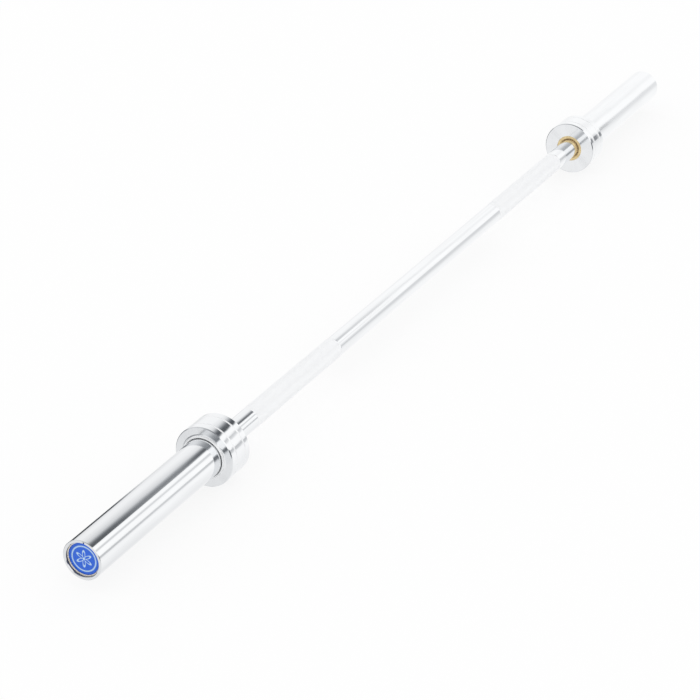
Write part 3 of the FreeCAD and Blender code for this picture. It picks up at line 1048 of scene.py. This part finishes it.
class BARBELL_OT_set_stage(bpy.types.Operator):
    """Set up the pale floor, the studio light and the camera"""

    bl_idname = "barbell.set_stage"
    bl_label = "Stage"

    def execute(self, context):
        studio = context.scene.barbell_studio
        self.lay_floor(studio)
        self.light_world(context.scene)
        self.place_camera(context.scene, studio)
        context.scene.view_settings.view_transform = "Standard"
        return {"FINISHED"}

    def lay_floor(self, studio):
        """A pale disc under the bar, which polished metal doesn't show."""
        bpy.ops.object.select_all(action="DESELECT")
        bpy.ops.mesh.primitive_circle_add(
            vertices=96, radius=studio.floor_reach, fill_type="NGON", location=(0, 0, CAD_BOX[0].z)
        )
        floor = start_piece("floor")
        material = bpy.data.materials.new("pale_floor")
        material.use_nodes = True
        tree = material.node_tree
        shader = tree.nodes["Principled BSDF"]
        place = tree.nodes.new("ShaderNodeTexCoord").outputs["Object"]
        grain = noise(tree, place, scale=3.0, detail=4.0)
        tone = blend(tree, remap(tree, grain, 0.3, 0.7), studio.floor, shade(studio.floor, 0.995))
        feed(tree, tone, shader.inputs["Base Color"])
        shader.inputs["Roughness"].default_value = 1.0
        shader.inputs["Specular IOR Level"].default_value = 0.0
        self.show_white(tree, shader)
        floor.data.materials.append(material)
        floor.visible_glossy = False

    def show_white(self, tree, shader):
        """Mix plain white into what is seen of the floor, so that its shadow stays faint."""
        white_share = 0.82
        path = tree.nodes.new("ShaderNodeLightPath").outputs
        seen = calculate(tree, "ADD", path["Is Camera Ray"], path["Is Glossy Ray"])
        seen = calculate(tree, "MINIMUM", calculate(tree, "ADD", seen, path["Is Transmission Ray"]), 1.0)
        white = tree.nodes.new("ShaderNodeEmission")
        mix = tree.nodes.new("ShaderNodeMixShader")
        feed(tree, product(tree, seen, white_share), mix.inputs["Fac"])
        feed(tree, shader.outputs["BSDF"], mix.inputs[1])
        feed(tree, white.outputs["Emission"], mix.inputs[2])
        feed(tree, mix.outputs["Shader"], tree.nodes["Material Output"].inputs["Surface"])

    def light_world(self, scene):
        """An even white room. Polished metal meets pale cards and dark, slightly blue gaps in it."""
        red_power, blue_power = 1.03, 0.96
        world = bpy.data.worlds.new("white_studio")
        world.use_nodes = True
        tree = world.node_tree
        way = separate(tree, tree.nodes.new("ShaderNodeTexCoord").outputs["Generated"])
        along = way["X"]
        angle = calculate(tree, "ARCTAN2", way["Z"], product(tree, way["Y"], -1.0))
        degrees = calculate(tree, "DEGREES", angle)
        level = self.behind_level(tree, way, degrees)
        for start, next_level in (
            (NEAR_START, self.near_level(tree, along, degrees)),
            (COLLAR_START, self.collar_level(tree, along, degrees)),
            (FAR_START, self.far_level(tree, along, degrees)),
        ):
            level = remap(tree, remap(tree, along, *start), 0.0, 1.0, level, next_level)
        reds = calculate(tree, "POWER", level, red_power)
        blues = calculate(tree, "POWER", level, blue_power)
        room = combine(tree, reds, level, blues)
        glossy = tree.nodes.new("ShaderNodeLightPath").outputs["Is Glossy Ray"]
        background = tree.nodes["Background"]
        feed(tree, blend(tree, glossy, WHITE, room), background.inputs["Color"])
        background.inputs["Strength"].default_value = 1.0
        world.cycles.sampling_method = "NONE"
        scene.world = world

    def darken(self, tree, level, mask, least=0.0):
        """A level, brought down to a share of itself where a mask is 1."""
        return product(tree, level, remap(tree, mask, 0.0, 1.0, 1.0, least))

    def lighten(self, tree, level, mask, most):
        """A level, brought up towards white where a mask is 1."""
        return remap(tree, product(tree, mask, most), 0.0, 1.0, level, 1.0)

    def behind_level(self, tree, way, degrees):
        """What faces, hollows and beads meet: bands, a wall beyond the bar and dusk low behind it."""
        along = way["X"]
        contrast = remap(tree, along, -0.83, -0.78, 1.0, 2.0)
        level = calculate(tree, "POWER", self.bands(tree, degrees, BEHIND_BANDS), contrast)
        wall_depth = remap(tree, way["Y"], 0.25, 0.45)
        wall_width = between(tree, along, -0.4, 0.4, soft=0.1)
        wall_height = remap(tree, way["Z"], 0.20, 0.32, 1.0, 0.2)
        level = self.darken(tree, level, product(tree, wall_depth, wall_width, wall_height), least=0.35)
        dusk_height = between(tree, degrees, -174.0, -144.0, soft=5.0)
        dusk_start = remap(tree, along, -0.86, -0.84, 0.0, 0.75)
        dusk_end = remap(tree, along, -0.68, -0.60, 1.0, 0.0)
        return self.darken(tree, level, product(tree, dusk_height, dusk_start, dusk_end))

    def near_level(self, tree, along, degrees):
        """What the near sleeve meets: bands, a dark line along its upper edge and a paler stretch."""
        level = self.bands(tree, degrees, NEAR_BANDS)
        line_height = between(tree, degrees, -178.5, -150.0, soft=5.0)
        line_end = remap(tree, along, 0.722, 0.738, 0.95, 0.0, smooth=True)
        level = self.darken(tree, level, product(tree, line_height, line_end))
        return self.lighten(tree, level, between(tree, along, 0.727, 0.747, soft=0.004), most=0.19)

    def collar_level(self, tree, along, degrees):
        """What the near collar and the shaft beside it meet: bands that stand higher on the shaft."""
        rise = remap(tree, along, 0.7600, 0.7630, 0.0, -5.0)
        return self.bands(tree, calculate(tree, "ADD", degrees, rise), COLLAR_BANDS)

    def far_level(self, tree, along, degrees):
        """What the far half meets: bands, lower and paler on its sleeve, with a dark gap at its collar."""
        sleeve = remap(tree, along, 0.8670, 0.8682)
        lowered = calculate(tree, "ADD", degrees, product(tree, sleeve, 9.0))
        level = self.lighten(tree, self.bands(tree, lowered, FAR_BANDS), sleeve, most=0.3)
        gap_height = between(tree, degrees, -5.0, 15.0, soft=2.5)
        gap_width = between(tree, along, 0.8620, 0.8676, soft=0.0004)
        return self.darken(tree, level, product(tree, gap_height, gap_width), least=0.36)

    def bands(self, tree, degrees, levels):
        """Level of a set of bands at an angle."""
        ramp = tree.nodes.new("ShaderNodeValToRGB")
        stops = ramp.color_ramp.elements
        stops.remove(stops[1])
        for index, (place, level) in enumerate(levels):
            position = (place + 180) / 360
            stop = stops[0] if index == 0 else stops.new(position)
            stop.position = position
            stop.color = (level, level, level, 1.0)
        feed(tree, remap(tree, degrees, -180.0, 180.0), ramp.inputs["Fac"])
        return separate(tree, ramp.outputs["Color"])["X"]

    def place_camera(self, scene, studio):
        """A camera at the photograph's viewing angle."""
        facing = Vector(studio.camera_aim).to_track_quat("-Z", "Y").to_euler()
        bpy.ops.object.camera_add(location=studio.camera_place, rotation=facing)
        camera = bpy.context.object
        camera.name = "photo_camera"
        camera.data.lens = studio.lens
        camera.data.sensor_width = studio.sensor
        scene.camera = camera


class BARBELL_PT_sidebar(bpy.types.Panel):
    """Buttons and sizes in the 3D view's sidebar"""

    bl_idname = "BARBELL_PT_sidebar"
    bl_label = "Olympic Barbell"
    bl_space_type = "VIEW_3D"
    bl_region_type = "UI"
    bl_category = "Barbell"

    def draw(self, context):
        for operator in OPERATORS:
            self.layout.operator(operator.bl_idname)
        for group, kind in SETTINGS.items():
            box = self.layout.box()
            for name in kind.__annotations__:
                box.prop(getattr(context.scene, group), name)


SETTINGS = {
    "barbell_sizes": BarbellSizes,
    "barbell_finishes": BarbellFinishes,
    "barbell_studio": BarbellStudio,
}
OPERATORS = (
    BARBELL_OT_set_stage,
    BARBELL_OT_add_shaft,
    BARBELL_OT_add_sleeves,
    BARBELL_OT_add_collars,
    BARBELL_OT_add_bushings,
    BARBELL_OT_add_discs,
    BARBELL_OT_add_snap_rings,
    BARBELL_OT_finish_inner_pieces,
)


def register():
    """Make the classes and their settings known to Blender."""
    for kind in (*SETTINGS.values(), *OPERATORS, BARBELL_PT_sidebar):
        bpy.utils.register_class(kind)
    for name, kind in SETTINGS.items():
        setattr(bpy.types.Scene, name, PointerProperty(type=kind))


def unregister():
    """Take the settings and classes away again."""
    for name in SETTINGS:
        delattr(bpy.types.Scene, name)
    for kind in reversed((*SETTINGS.values(), *OPERATORS, BARBELL_PT_sidebar)):
        bpy.utils.unregister_class(kind)


def main():
    """Build the stage and every piece."""
    register()
    bpy.ops.barbell.set_stage()
    bpy.ops.barbell.add_shaft()
    bpy.ops.barbell.add_sleeves()
    bpy.ops.barbell.add_collars()
    bpy.ops.barbell.add_bushings()
    bpy.ops.barbell.add_discs()
    bpy.ops.barbell.add_snap_rings()
    bpy.ops.barbell.finish_inner_pieces()


if __name__ == "__main__":
    main()
